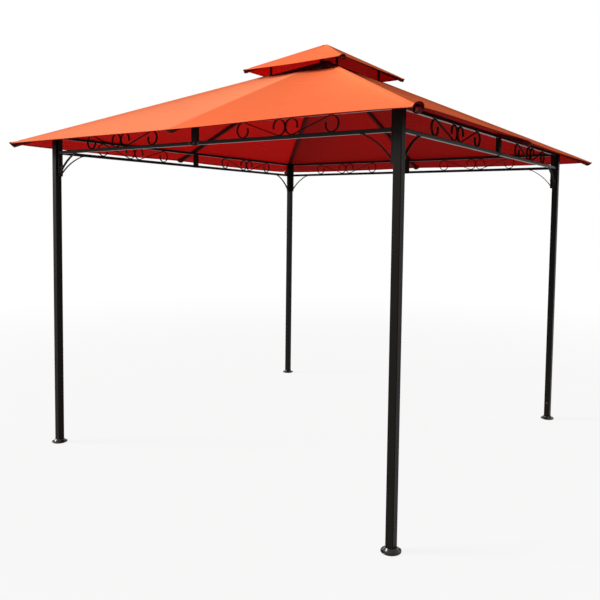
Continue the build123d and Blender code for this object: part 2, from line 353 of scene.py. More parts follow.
STRIP_THICKNESS = 0.004
STRIP_WIDTH = 0.012
STRIP_EDGE = 0.0007  # eased edges of the strip
SCROLL_LENGTH = 0.325
CURL_TURN = math.radians(205)
HOOK_TURN = math.radians(108)
HOOK_SHARE = 0.85  # radius of the hook as a share of the curl's
HOOK_STEPS, CURL_STEPS = 22, 46
WELD = 0.0006  # how far welded members run into each other
RAIL_CORNER = 0.0025  # radius of a rail's edges


def rounded_square(side, corner, steps):
    """Points round a square with rounded corners.

    A quarter circle with a short flat at each end, turned four times.
    """
    arc = side / 2 - corner + corner * on_circle(np.linspace(0, np.pi / 2, steps))
    flat = 0.2 * corner
    quarter = np.concatenate([arc[:1] - (0, flat), arc, arc[-1:] - (flat, 0)])
    next_quarter = vectors(-quarter[:, 1], quarter[:, 0])
    return np.concatenate([quarter, next_quarter, -quarter, -next_quarter])


def scroll_line():
    """The middle line of one S, about its own centre.

    Half of it is a hook of constant radius that runs into a curl of a larger one. The bar is the
    cross tangent of the two curls, and the other half is the same turned upside down.
    """
    outer = (TOP_RAIL - BOTTOM_RAIL - RAIL_SIDE) / 2 + WELD
    radius = outer - STRIP_THICKNESS / 2
    hook = radius * HOOK_SHARE
    offset = SCROLL_LENGTH / 2 - outer
    bar_end = math.asin(radius / offset) - math.pi / 2
    curl_end = bar_end - CURL_TURN
    hook_angle = np.linspace(curl_end - HOOK_TURN, curl_end, HOOK_STEPS, endpoint=False)
    shift = (radius - hook) * on_circle(curl_end)
    hooked = shift + hook * on_circle(hook_angle)
    curled = radius * on_circle(np.linspace(curl_end, bar_end, CURL_STEPS))
    half = np.concatenate([hooked, curled]) - [offset, 0]
    return np.concatenate([half, -half[::-1]])


def scroll_strip(hand):
    """A flat strip with eased edges carried along the S, on one hand of the front right half truss."""
    line = scroll_line()
    tangent = np.gradient(line, axis=0)
    tangent /= np.linalg.norm(tangent, axis=1, keepdims=True)
    normal = vectors(-tangent[:, 1], tangent[:, 0])
    a, b = STRIP_THICKNESS / 2, STRIP_WIDTH / 2
    thick = np.array([a, a, a - STRIP_EDGE, STRIP_EDGE - a, -a, -a, STRIP_EDGE - a, a - STRIP_EDGE])
    wide = np.array([STRIP_EDGE - b, b - STRIP_EDGE, b, b, b - STRIP_EDGE, STRIP_EDGE - b, -b, -b])
    flat = line[:, None, :] + normal[:, None, :] * thick[None, :, None]
    middle = (TRUSS_START + UPRIGHT_FACE) / 2
    x = middle + hand * (SCROLL_LENGTH / 2 - WELD + flat[..., 0])
    z = (TOP_RAIL + BOTTOM_RAIL) / 2 + flat[..., 1]
    return tube_of_rings(vectors(x, wide - POST_LINE, z))


def rail(height):
    """A square tube with rounded edges, from the centre tube to the upright, in the same half truss."""
    section = rounded_square(RAIL_SIDE, RAIL_CORNER, 5)
    ends = np.array([[TRUSS_START], [UPRIGHT_FACE]])
    return tube_of_rings(vectors(ends, section[:, 0] - POST_LINE, section[:, 1] + height))


# Cloth


@dataclass
class Tier:
    """One tier of the canopy. Its heights are of the cloth's upper face before it sags."""

    inner: float  # half the side of the opening, 0 under a peak
    outer: float  # half the side of the eave
    inner_height: float
    outer_height: float
    sag: float
    mid_band: float  # half the width that lies on a mid rafter, 0 without one
    hip_band: float  # the width that lies on a hip rafter, on one side of it
    edge_sag: float  # what is left of the sag at the hems
    droop: tuple
    droop_start: tuple
    corner_cut: float  # how far the corner's edge is drawn in
    hood_rise: tuple
    hood_inset: tuple
    hood_length: float  # of the sleeve over a hip rafter's end
    tube_side: float  # of a hip rafter
    tube_end: float  # of a hip rafter, from the roof's axis
    drop: float  # of the cloth under the CAD panel's face

    @property
    def slope(self):
        """Fall of the cloth for each metre outwards."""
        return (self.inner_height - self.outer_height) / (self.outer - self.inner)


def settle(slope, thickness):
    """How far the thin cloth lies below the face of the CAD panel, so that it rests on the tubes."""
    return (CAD_CLOTH - thickness) * math.hypot(1, slope) + CLEARANCE


def lower_tier(settings):
    """The main roof: cloth on four hip rafters and four mid rafters, with an open square at its top."""
    drop = settle(MAIN_SLOPE, settings.cloth_thickness)
    return Tier(
        inner=VENT_HALF, outer=EAVE_HALF, inner_height=VENT_HEIGHT - drop, outer_height=EAVE_HEIGHT - drop,
        sag=settings.sag, mid_band=0.0135, hip_band=0.021, edge_sag=0.003,
        droop=settings.droop, droop_start=settings.droop_start, corner_cut=0.06,
        hood_rise=settings.hood_rise, hood_inset=settings.hood_inset, hood_length=0.25,
        tube_side=0.025, tube_end=EAVE_HALF * ROOT_TWO - 0.03, drop=drop,
    )


def top_tier(settings):
    """The small roof over the vent: cloth on four hip rafters only."""
    drop = settle(TOP_SLOPE, settings.cloth_thickness)
    return Tier(
        inner=0.0, outer=TOP_EAVE_HALF, inner_height=PEAK_HEIGHT - drop, outer_height=TOP_EAVE_HEIGHT - drop,
        sag=settings.top_sag, mid_band=0.0, hip_band=0.018, edge_sag=0.003,
        droop=[0.2 * fall for fall in settings.droop], droop_start=settings.droop_start, corner_cut=0.035,
        hood_rise=[0.5 * rise for rise in settings.hood_rise],
        hood_inset=[0.002 + 0.1 * inset for inset in settings.hood_inset], hood_length=0.14,
        tube_side=0.02, tube_end=TOP_EAVE_HALF * ROOT_TWO - 0.014, drop=drop,
    )


SQUEEZE = 0.8  # how far stations crowd at the hips and the middle
BOW_SKEW = 0.6  # below 1 the deepest sag lies nearer the hip than the mid rafter
BOW_PEAK = (1 + BOW_SKEW) ** (1 + BOW_SKEW) / BOW_SKEW**BOW_SKEW  # makes the bow's peak 1
ARCH_HALF = 0.027  # half the width of the arch over the end of a hip rafter
ARCH_LENGTH = 0.16  # how far up the hip that arch fades out
ARCH_SHARE = 0.55  # height of that arch as a share of the hood's
CUT_LENGTH = 0.07  # along the eave, from where the corner is cut back
FREE_EDGE = 0.036  # width of the cloth that droops past the rafters
LIFTED_EDGE = 0.1  # width of the cloth that curls up at the edge
EASE = 1.3  # power by which the free edge's fall and the arch set in
CORNER_FADE = 12  # power that keeps the corner's cut, and the droop's fade, close to the edge
ROW_CROWDING = 1.25  # above 1 the sheet's rows crowd towards the eave
PEAK_DIP = 0.2  # how far the peak is pulled down, as a share of the sag


def side_shares(stations):
    """Stations from hip to hip as shares from -1 to 1, crowded at the hips and the middle.

    An even spacing t less a sine, t - a sin(2 pi t) / (2 pi), is narrower at both its ends.
    """
    t = np.linspace(0, 1, stations // 2 + 1)
    half = t - SQUEEZE * np.sin(2 * np.pi * t) / (2 * np.pi)
    return np.concatenate([-half[::-1], half[1:]])


def cloth_height(tier, along, reach, corners=(0, 0), side=None, creases=None):
    """Height of the cloth at a distance along a side and a reach out from the roof's axis.

    A straight slope, less a bow of sag between neighbouring tubes that is slight at both hems,
    plus an arch over each hip that grows towards the corner. On a numbered side the free edge
    falls or lifts by a power of its width, setting in from the mid rafter by a smooth step and
    fading at the corner. Each crease adds a short wave in a bell-shaped window. corners are the
    numbers of the side's left and right corner.
    """
    down = (reach - tier.inner) / (tier.outer - tier.inner)
    slope = tier.inner_height + (tier.outer_height - tier.inner_height) * down
    span = np.maximum(reach - tier.mid_band - tier.hip_band, 1e-4)
    share = np.clip((np.abs(along) - tier.mid_band) / span, 0, 1)
    bow = BOW_PEAK * share * (1 - share) ** BOW_SKEW if tier.mid_band else 1 - share**2
    fade = np.sqrt(np.abs(np.sin(np.pi * np.clip(down, 0, 1))))
    height = slope - bow * (tier.sag * fade + tier.edge_sag * (1 - fade))
    if side is not None:
        half = 2 * side + (along > 0)
        fall, start = np.asarray(tier.droop)[half], np.asarray(tier.droop_start)[half]
        edge = np.where(fall > 0, FREE_EDGE, LIFTED_EDGE) * tier.outer / EAVE_HALF
        past = np.clip(1 - (tier.outer - reach) / edge, 0, 1) ** EASE
        from_middle = np.clip(np.abs(along) / tier.outer, 0, 1)
        onset = np.clip(from_middle / start, 0, 1)
        height = height - fall * past * onset**2 * (3 - 2 * onset) * (1 - from_middle**CORNER_FADE)
    if creases is not None:
        centre, level, turn, length, wave, amount = np.moveaxis(creases, -1, 0)
        x = along[..., None] - centre * tier.outer
        y = reach[..., None] - (tier.inner + (tier.outer - tier.inner) * level)
        over = x * np.cos(turn) + y * np.sin(turn)
        across = -x * np.sin(turn) + y * np.cos(turn)
        window = np.exp(-((over / length) ** 2) - (across / wave) ** 2)
        height = height + bow * (amount * window * np.cos(np.pi * across / wave)).sum(axis=-1)
    beside = (reach - np.abs(along)) / ROOT_TWO
    to_tip = (2 * tier.outer - reach - np.abs(along)) / ROOT_TWO
    arch = np.clip(1 - (beside / ARCH_HALF) ** 2, 0, 1) ** EASE
    grow = np.clip(1 - to_tip / ARCH_LENGTH, 0, 1) ** 2
    rise = np.where(along > 0, tier.hood_rise[corners[1]], tier.hood_rise[corners[0]])
    return height + ARCH_SHARE * rise * arch * grow


def fold_creases(settings, tier, count, seed):
    """Places, slants and sizes of the faint creases on each side, the same on every run."""
    draw = np.random.default_rng(seed)
    shape = (SIDES, count)
    scale = tier.outer / EAVE_HALF
    return np.stack([
        draw.uniform(-0.5, 0.5, shape),
        draw.uniform(0.05, 0.7, shape),
        draw.normal(0.1, 0.2, shape),
        draw.uniform(0.16, 0.5, shape) * scale,
        draw.uniform(0.016, 0.036, shape) * scale,
        draw.uniform(-1.0, 1.0, shape) * settings.ripple * scale,
    ], axis=-1)


def side_grid(tier, shares, reach, lift, side, creases=None):
    """A profile of reaches carried from hip to hip over one side, mitred at the hips and turned to the front.

    Near the corners the outer reaches are drawn in by a parabola, so the corner ends in its pocket.
    """
    reach = np.asarray(reach)[:, None]
    down = (reach - tier.inner) / (tier.outer - tier.inner)
    from_corner = (1 - np.abs(shares)) * tier.outer
    near = np.clip(1 - from_corner / CUT_LENGTH, 0, 1) ** 2
    reach = reach - tier.corner_cut * near * np.clip(down, 0, 1) ** CORNER_FADE
    along = shares * reach
    height = cloth_height(tier, along, reach, ((side - 1) % SIDES, side), side, creases)
    height = height + np.broadcast_to(np.asarray(lift), (len(reach),))[:, None]
    return vectors(along, -reach, height)


def all_sides(tier, shares, reach, lift=0.0, creases=None):
    """The grids of the four sides, each side's last station shared with the next."""
    sides = [
        turned(side_grid(tier, shares, reach, lift, k, None if creases is None else creases[k]), k)[:, :-1]
        for k in range(SIDES)
    ]
    return np.concatenate(sides, axis=1)


def canopy_sheet(name, tier, rows, stations, creases, materials, thickness):
    """One continuous sheet over the four sides, from the vent or the peak down to the eave.

    Rows crowd towards the eave. Over a peak the sheet closes in a single point.
    """
    down = 1 - (1 - np.linspace(0, 1, rows)) ** ROW_CROWDING
    peaked = tier.inner == 0
    reach = tier.inner + (tier.outer - tier.inner) * (down[1:] if peaked else down)
    shares = side_shares(stations)
    grid = all_sides(tier, shares, reach, creases=creases)
    rows, columns = grid.shape[:2]
    points, faces = grid.reshape(-1, 3), [grid_faces(rows, columns, wrap_columns=True)]
    on_cloth = vectors(reach[:, None] * shares, reach[:, None] * math.hypot(1, tier.slope))
    uv = np.tile(corner_values(on_cloth), (1, SIDES, 1, 1)).reshape(-1, 2)
    if peaked:
        peak = np.array([[0, 0, cloth_height(tier, np.zeros(1), np.zeros(1))[0] - tier.sag * PEAK_DIP]])
        points = np.concatenate([points, peak])
        column = np.arange(columns)
        faces.append(vectors(rows * columns, column, (column + 1) % columns))
        ring = on_cloth[0]
        fan = np.stack([np.zeros_like(ring[1:]), ring[:-1], ring[1:]], axis=1)
        uv = np.concatenate([uv, np.tile(fan, (SIDES, 1, 1)).reshape(-1, 2)])
    piece = make_piece(name, (points, faces), materials, uv)
    thicken(piece, thickness, lining=1)
    return piece


HEM_POINTS = 14  # round the loop of a hem
HEM_RISE = 0.0016  # half its thickness
HEM_MIDDLE = -0.0007  # from the cloth's upper face to the loop's middle
HEM_PAST = 0.001  # how far it stands past the edge of the cloth
HEM_UNDER = -0.0008  # faces below this level show the lining


def hem(name, tier, edge, width, stations, materials, outwards):
    """The turned hem: a flat loop round the edge of the cloth, carried round the four sides.

    The loop is an ellipse with squared ends, half of it above and half below the cloth. Its lower
    half shows the lining.
    """
    angle = round_angles(HEM_POINTS)
    into = width / 2 * (1 + squared_ring(angle, 0.45)[0]) - HEM_PAST
    lift = HEM_MIDDLE + HEM_RISE * squared_ring(angle, 0.6)[1]
    fall = math.hypot(1, tier.slope)
    points = all_sides(tier, side_shares(stations), edge - outwards * into / fall, lift * fall)
    rows, columns = points.shape[:2]
    faces = grid_faces(rows, columns, wrap_columns=True, wrap_rows=True)
    length = np.linalg.norm(np.diff(points[0], axis=0, append=points[0][:1]), axis=1)
    run = np.concatenate([[0], np.cumsum(length)])
    uv = corner_values(vectors(run, np.arange(rows + 1)[:, None] / rows))
    under = np.repeat((lift + np.roll(lift, -1)) / 2 < HEM_UNDER, columns)
    return make_piece(name, (points.reshape(-1, 3), [faces]), materials, uv, finish=under)


SEAM_RISE, SEAM_SINK = 0.0011, 0.0006  # of a seam's top and underside, from the cloth's upper face
SEAM_TOP, SEAM_FOOT = 0.012, 0.005  # how far a seam stays away from the peak and from the cut corner


def hip_seams(name, tier, width, rows, materials):
    """Felled seams: a folded strip along each hip that follows both neighbouring slopes.

    The strip's section runs across the hip and back under it. Its top is nearly flat and falls to
    both edges by a sixth power.
    """
    across = np.linspace(-1, 1, 9)
    section = np.concatenate([across, across[-2:0:-1]])
    count = len(section)
    raised = np.concatenate([SEAM_RISE * (1 - across**6), np.full(count - 9, -SEAM_SINK)])
    low, high = max(tier.inner, SEAM_TOP), tier.outer - tier.corner_cut - SEAM_FOOT
    reach = np.linspace(low, high, rows)[:, None] * ROOT_TWO
    beside = section * width / 2
    out = (reach + np.abs(beside)) / ROOT_TWO
    along = (reach - np.abs(beside)) / ROOT_TWO
    x, y = np.where(beside > 0, (out, along), (along, out))
    uv = corner_values(vectors(reach, np.arange(count + 1) / count)).reshape(-1, 2)
    uv = np.concatenate([uv, np.zeros((2 * count, 2))])
    shells = [
        tube_of_rings(turned(vectors(x, -y, cloth_height(tier, along, out, (k, k)) + raised), k))
        for k in range(SIDES)
    ]
    return make_piece(name, joined(shells), materials, np.tile(uv, (SIDES, 1)), closed=True)


def hip_tube_axis(tier, reach):
    """Height of the middle of a hip rafter: its two top edges carry the cloth beside the ridge."""
    pitch = math.atan(tier.slope / ROOT_TWO)
    slope_pitch = math.atan(tier.slope)
    ridge = tier.outer_height + tier.drop + tier.slope * (tier.outer - reach / ROOT_TWO)
    top = ridge - CAD_CLOTH / math.cos(slope_pitch) - CLEARANCE - tier.slope / ROOT_TWO * tier.tube_side / 2
    return top - tier.tube_side / 2 / math.cos(pitch)


def at_corner(out, beside, height):
    """Points by the front right corner: their reach along the hip, their place beside it, their height."""
    return vectors((out + beside) / ROOT_TWO, (beside - out) / ROOT_TWO, height)


FULL_TUBE = 0.025  # tube that the sleeve's sizes are for; other tubes scale them
SLEEVE_HALF = 0.0152  # half the sleeve's width
SLEEVE_DEPTH = 0.0352  # of its underside below the ridge of the cloth
SLEEVE_SINK = 0.0008  # of its top below that ridge
SLEEVE_WALL = 0.0011
HOOD_WIDER, HOOD_DEEPER = 0.0103, 0.003  # what the hood adds to each side and below
HOOD_FLARE = 0.075  # length over which it opens
HOOD_LIP = 0.0055  # thickness of its rim
HOOD_SLANT = 0.03  # how far its lower rim lies behind the upper one
PAINTED_SHADE_TOP, PAINTED_SHADE_UNDER = 0.014, 0.05  # how far the dark pocket's painted shade shows up the hood's top and underside


def corner_hood(tier, corner):
    """The sewn sleeve over a hip rafter's end, which opens in a hood at the corner of the cloth.

    Rings follow the tube under the cloth, squared like it and with the roof's slopes on top. Near
    the corner they widen, round off and rise by a square law to a slanted lip, half a circle in
    section, and run back inside to the tube. Returns the shell and each face's finish: 0 the dark
    pocket, painted shade on the lip and round the hood's mouth, 1 the cloth, 2 the lining.
    """
    scale = tier.tube_side / FULL_TUBE
    end = tier.outer * ROOT_TWO - tier.hood_inset[corner]
    start = tier.tube_end - tier.hood_length
    lip = HOOD_LIP * scale
    outer, rim, inner = 28, 8, 14
    roll = np.linspace(np.pi / 2, -np.pi / 2, rim)
    level = np.concatenate([np.linspace(0, 1, outer), np.ones(rim), np.linspace(1, 0, inner)])
    reach = start + (end - start) * level
    grow = np.clip(1 - (end - reach) / (HOOD_FLARE * scale), 0, 1)[:, None] ** 2
    wall = np.concatenate([np.zeros(outer), lip / 2 * (1 - np.sin(roll)), np.full(inner, lip)])[:, None]
    wall = np.minimum(wall, SLEEVE_WALL + (lip - SLEEVE_WALL) * grow)
    reach[outer:outer + rim] += lip / 2 * np.cos(roll)
    across, upward = squared_ring(round_angles(40)[None], 0.42 + 0.45 * grow)
    above = -SLEEVE_SINK + (tier.hood_rise[corner] + SLEEVE_SINK) * grow - wall
    below = (SLEEVE_DEPTH + HOOD_DEEPER * grow) * scale - wall
    beside = ((SLEEVE_HALF + HOOD_WIDER * grow) * scale - wall) * across
    out = reach[:, None] - HOOD_SLANT * scale * grow * (1 - upward) / 2
    ridge = tier.outer_height + tier.slope * (tier.outer - out / ROOT_TWO)
    height = ridge + (above - below) / 2 + (above + below) / 2 * upward
    height -= tier.slope / ROOT_TWO * np.abs(beside) * np.clip(upward, 0, 1) * (1 - grow)
    rings = at_corner(out, beside, height)
    row = np.arange(len(rings))[:, None]
    outside, inside = row < outer - 1, row >= outer + rim
    from_lip = end - reach[:, None]
    # Painted shade: faces on the rim and near the lip take the dark pocket finish
    top = outside & (upward > 0.3) & (from_lip > PAINTED_SHADE_TOP * scale)
    under = outside & ~top & (from_lip > PAINTED_SHADE_UNDER * scale)
    finish = np.where(top, 1, np.where(under | inside, 2, 0))
    shell = rings.reshape(-1, 3), [grid_faces(*rings.shape[:2], wrap_columns=True, wrap_rows=True)]
    return shell, finish.ravel()


PLUG_DEPTH, PLUG_PAST = 0.02, 0.0095  # of the plug, behind and past the rafter's end
PLUG_PLAY = 0.0008  # how far it stands round the tube
DOME_START = 0.6  # share of its length from which it closes


def pocket_plug(tier):
    """The rounded end in the sleeve: squared rings about the tube that close over its cap in a dome."""
    pitch = math.atan(tier.slope / ROOT_TWO)
    share = np.linspace(0, 1, 20)[:-1]
    dome = np.clip((share - DOME_START) / (1 - DOME_START), 0, 1)
    size = ((tier.tube_side / 2 + PLUG_PLAY) * np.sqrt(1 - dome**2.6))[:, None]
    across, upward = squared_ring(round_angles(32)[None], (0.45 + 0.4 * share)[:, None])
    reach = (tier.tube_end - PLUG_DEPTH + (PLUG_DEPTH + PLUG_PAST) * share)[:, None]
    axis = hip_tube_axis(tier, tier.tube_end) + (tier.tube_end - reach) * math.tan(pitch)
    above = size * upward
    out, height = reach + above * math.sin(pitch), axis + above * math.cos(pitch)
    return tube_of_rings(at_corner(out, size * across, height))


def corner_pockets(name, tier, materials):
    """The four hoods that hold the ends of the hip rafters, with the rounded plugs inside them."""
    shells, finishes = [], []
    plug_points, plug_faces = pocket_plug(tier)
    for corner in range(SIDES):
        (points, faces), finish = corner_hood(tier, corner)
        shells += [(turned(points, corner), faces), (turned(plug_points, corner), plug_faces)]
        finishes += [finish, np.full(sum(len(block) for block in plug_faces), 3)]
    finish = np.concatenate(finishes)
    return make_piece(name, joined(shells), materials, finish=finish, closed=True)


POCKET_HALF = 0.027  # half the width of the pocket at a mid rafter's end
POCKET_LENGTH = 0.054  # from the eave inwards
POCKET_FRONT = 0.036  # from the eave to the rafter's end
POCKET_DEPTH = 0.0315  # below the cloth
POCKET_GAP = 0.0012  # left between the pocket's edges and the cloth's upper face
POCKET_INSET = 0.0015  # of the pocket from the eave's edge


def mid_pockets(name, tier, materials, thickness):
    """The pockets under the eave that hold the ends of the mid rafters.

    A grid inwards from the eave and across the rafter hangs below the cloth. Its depth grows by a
    quarter of a sine from the eave to the rafter's end, and a power across it brings it back up
    to the cloth at both edges.
    """
    inward = np.linspace(0, POCKET_LENGTH, 17)[:, None]
    across = np.linspace(-1, 1, 33)
    grow = np.sin(np.pi / 2 * np.clip(inward / POCKET_FRONT, 0, 1))
    depth = POCKET_GAP + POCKET_DEPTH * grow * (1 - np.abs(across) ** 3.5) ** 0.9
    along, reach = np.broadcast_arrays(POCKET_HALF * across, tier.outer - POCKET_INSET - inward)
    shells = []
    for side in range(SIDES):
        height = cloth_height(tier, along, reach, ((side - 1) % SIDES, side), side) - depth
        points = turned(vectors(along, -reach, height), side)
        shells.append((points.reshape(-1, 3), [grid_faces(*depth.shape)]))
    # Painted shade: the pockets take the dark pocket finish, a darkened copy of the lining
    piece = make_piece(name, joined(shells), materials)
    thicken(piece, thickness)
    return piece


# Materials


class Tree:
    """Builds the nodes of a material or a world around its shader."""

    def __init__(self, owner, shader="Principled BSDF"):
        owner.use_nodes = True
        self.owner = owner
        self.nodes = owner.node_tree.nodes
        self.links = owner.node_tree.links
        self.shader = self.nodes[shader]

    @cached_property
    def place(self):
        """Where a point lies on its piece: Object coordinates, or the cloth's own map."""
        return self.nodes.new("ShaderNodeTexCoord").outputs

    def add(self, kind, settings=None, **inputs):
        """A node with its settings and input values."""
        node = self.nodes.new(kind)
        for key, value in (settings or {}).items():
            setattr(node, key, value)
        self.fill(node, **inputs)
        return node

    def fill(self, node, **inputs):
        """Values into a node's named inputs."""
        for key, value in inputs.items():
            self.put(node.inputs[key.replace("_", " ")], value)

    def done(self, **inputs):
        """Values into the shader; gives back the material or world that they finish."""
        self.fill(self.shader, **inputs)
        return self.owner

    def put(self, socket, value):
        """A value into a socket, or a link where the value is another node's output."""
        if isinstance(value, bpy.types.NodeSocket):
            self.links.new(value, socket)
        else:
            socket.default_value = value

    def math(self, operation, a, b=0.0, clamp=False):
        """One Math node's result."""
        node = self.add("ShaderNodeMath", {"operation": operation, "use_clamp": clamp})
        self.put(node.inputs[0], a)
        self.put(node.inputs[1], b)
        return node.outputs[0]

    def mix(self, share, first, second):
        """Two colours mixed by a share."""
        node = self.add("ShaderNodeMix", {"data_type": "RGBA"})
        for socket, value in zip((node.inputs[0], node.inputs[6], node.inputs[7]), (share, first, second)):
            self.put(socket, value)
        return node.outputs[2]

    def spread(self, value, low, high):
        """A value between 0 and 1 spread over a range."""
        return self.add("ShaderNodeMapRange", Value=value, To_Min=low, To_Max=high).outputs["Result"]

    def noise(self, scale, detail, **more):
        """A cloud of values from 0 to 1 over the piece."""
        node = self.add("ShaderNodeTexNoise", Vector=self.place["Object"], Scale=scale, Detail=detail, **more)
        return node.outputs["Fac"]

    def looked_at(self):
        """1 where the camera, a gloss or a clear body looks, by the kind of ray."""
        ray = self.nodes.new("ShaderNodeLightPath").outputs
        looked = self.math("MAXIMUM", ray["Is Camera Ray"], ray["Is Glossy Ray"])
        return self.math("MAXIMUM", looked, ray["Is Transmission Ray"])

    def bump(self, strength, distance, height):
        """The normal of a fine relief."""
        node = self.add("ShaderNodeBump", Strength=strength, Distance=distance, Height=height)
        return node.outputs["Normal"]


THREADS = 150.0  # scale of the weave
STITCHES = 160.0  # to the metre
STITCH_SHARE = 0.68  # of the pitch that a stitch covers
STITCH_ROWS = (0.12, 0.2, 0.3, 0.38)  # places of the rows across the hem's map
STITCH_HALF = 0.011  # half the width of a row on that map
SHEEN_STEP_HALF = 0.01  # half the width of the step to the pale cloth's painted sheen, in quarter turns


def opaque(colour, share=1.0):
    """A colour as four numbers, its strength scaled."""
    return tuple(min(1.0, c * share) for c in colour) + (1.0,)


def cloth_material(name, colour, roughness, gloss, glow, stitched=False, pale=None):
    """Woven coated polyester: faded patches, fine threads both ways and, on hems, rows of stitches.

    Threads are two sine waves along the cloth's own map; a stitch is where a saw-tooth along the
    hem and a narrow band across it meet. A share of the light goes through the thin cloth. The pale
    colour is painted sheen, lighter and whiter than the cloth's own, and lies between two bearings
    from the roof's middle: the front left hip's, 1.5 quarter turns clockwise from +X, and the front
    mid rafter's, 1 quarter turn.
    """
    tree = Tree(bpy.data.materials.new(name))
    patches = tree.noise(1.7, 5.0, Roughness=0.55)
    streaks = tree.noise(23.0, 3.0)
    shades = [
        tree.mix(
            tree.spread(streaks, 0.0, 0.16),
            tree.mix(patches, opaque(dye, 0.93), opaque(dye, 1.05)),
            opaque(dye, 0.8),
        )
        for dye in (colour, pale) if dye
    ]
    shade = shades[0]
    # Painted sheen: the pale copy of the cloth lies on the left half of the front slope
    if pale:
        spot = tree.add("ShaderNodeSeparateXYZ", Vector=tree.place["Object"]).outputs
        bearing = tree.math("ARCTAN2", spot["Y"], spot["X"])
        past_hip = tree.math("ADD", tree.math("DIVIDE", bearing, math.pi / 2), 1.5)
        to_step = tree.math("SUBTRACT", 0.5 + SHEEN_STEP_HALF, past_hip)
        before_middle = tree.math("DIVIDE", to_step, 2 * SHEEN_STEP_HALF, True)
        inside = tree.math("MULTIPLY", tree.math("GREATER_THAN", past_hip, 0.0), before_middle)
        shade = tree.mix(inside, *shades)
    threads = [
        tree.add("ShaderNodeTexWave", {"bands_direction": axis}, Vector=tree.place["UV"], Scale=THREADS)
        for axis in ("X", "Y")
    ]
    weave = tree.math("ADD", threads[0].outputs["Fac"], threads[1].outputs["Fac"])
    relief = tree.math("ADD", tree.math("MULTIPLY", weave, 0.25), tree.math("MULTIPLY", streaks, 0.35))
    if stitched:
        on_hem = tree.add("ShaderNodeSeparateXYZ", Vector=tree.place["UV"]).outputs
        step = tree.math("FRACT", tree.math("MULTIPLY", on_hem["X"], STITCHES))
        dash = tree.math("LESS_THAN", step, STITCH_SHARE)
        apart = [tree.math("ABSOLUTE", tree.math("SUBTRACT", on_hem["Y"], level)) for level in STITCH_ROWS]
        rows = [tree.math("LESS_THAN", gap, STITCH_HALF) for gap in apart]
        band = tree.math("ADD", tree.math("ADD", rows[0], rows[1]), tree.math("ADD", rows[2], rows[3]), True)
        stitch = tree.math("MULTIPLY", dash, band)
        shade = tree.mix(tree.math("MULTIPLY", stitch, 0.45), shade, opaque(colour, 0.45))
        relief = tree.math("ADD", relief, stitch)
    return tree.done(
        Base_Color=shade, Normal=tree.bump(0.35, 0.0006, relief),
        Roughness=tree.spread(streaks, roughness - 0.06, roughness + 0.06), Specular_IOR_Level=gloss,
        Subsurface_Weight=glow, Subsurface_Radius=(1.0, 0.06, 0.04), Subsurface_Scale=0.05,
    )


def paint_material(name, colour, roughness, gloss=0.07):
    """Powder coat: a fine orange-peel relief, uneven gloss and dust in soft patches."""
    tree = Tree(bpy.data.materials.new(name))
    patches = tree.noise(7.0, 6.0, Roughness=0.6)
    dusty = tree.math("MULTIPLY", tree.math("POWER", patches, 3.0), tree.noise(90.0, 4.0))
    shade = tree.mix(tree.math("MULTIPLY", dusty, 0.12, True), opaque(colour), (0.06, 0.052, 0.043, 1.0))
    return tree.done(
        Base_Color=shade, Normal=tree.bump(0.08, 0.0004, tree.noise(520.0, 2.0)),
        Roughness=tree.spread(patches, roughness - 0.07, roughness + 0.1), Specular_IOR_Level=gloss,
    )


def plated_material(name, colour):
    """Plated steel of bolts and washers, slightly uneven in colour and gloss."""
    tree = Tree(bpy.data.materials.new(name))
    spots = tree.noise(160.0, 4.0)
    return tree.done(
        Base_Color=tree.mix(spots, opaque(colour, 0.75), opaque(colour, 1.2)),
        Roughness=tree.spread(spots, 0.22, 0.42), Metallic=1.0,
    )


def plastic_material(name, colour, gloss):
    """Moulded plastic with a fine spark-eroded grain."""
    tree = Tree(bpy.data.materials.new(name))
    grain = tree.add("ShaderNodeTexVoronoi", Vector=tree.place["Object"], Scale=900.0)
    cloud = tree.noise(40.0, 3.0)
    return tree.done(
        Base_Color=tree.mix(cloud, opaque(colour, 0.8), opaque(colour, 1.3)),
        Normal=tree.bump(0.2, 0.0003, grain.outputs["Distance"]),
        Roughness=tree.spread(cloud, 0.4, 0.55), Specular_IOR_Level=gloss,
    )


def cloth_set(settings, tier_name, pale=None):
    """The finishes of a tier's cloth and hem, and those that both tiers share, made once."""
    made = bpy.data.materials
    shared = ("canopy_lining", "canopy_pocket_painted_shade", "corner_plug_painted_shade")
    if shared[0] not in made:
        cloth_material(shared[0], settings.lining, 0.8, 0.0, 0.37)
        # Painted shade: the pocket finish is the lining darkened to 0.4, for the shade in the hoods and under
        # the eave
        cloth_material(shared[1], [c * 0.4 for c in settings.lining], 0.6, 0.04, 0.0)
        # Painted shade: the plug is the lining darkened to 0.4, so its lower part sinks into the hood's shade
        plastic_material(shared[2], [c * 0.4 for c in settings.lining], 0.1)
    # The pale colour paints sheen on the lower cloth and its hem, left of the front's mid rafter
    cloth = cloth_material(f"{tier_name}_cloth", settings.colour, 0.8, 0.0, 0.0, pale=pale)
    hem_cloth = cloth_material(f"{tier_name}_hem_cloth", settings.colour, 0.8, 0.0, 0.0, True, pale)
    lining, pocket, plug = (made[name] for name in shared)
    return cloth, lining, hem_cloth, pocket, plug


# Operators


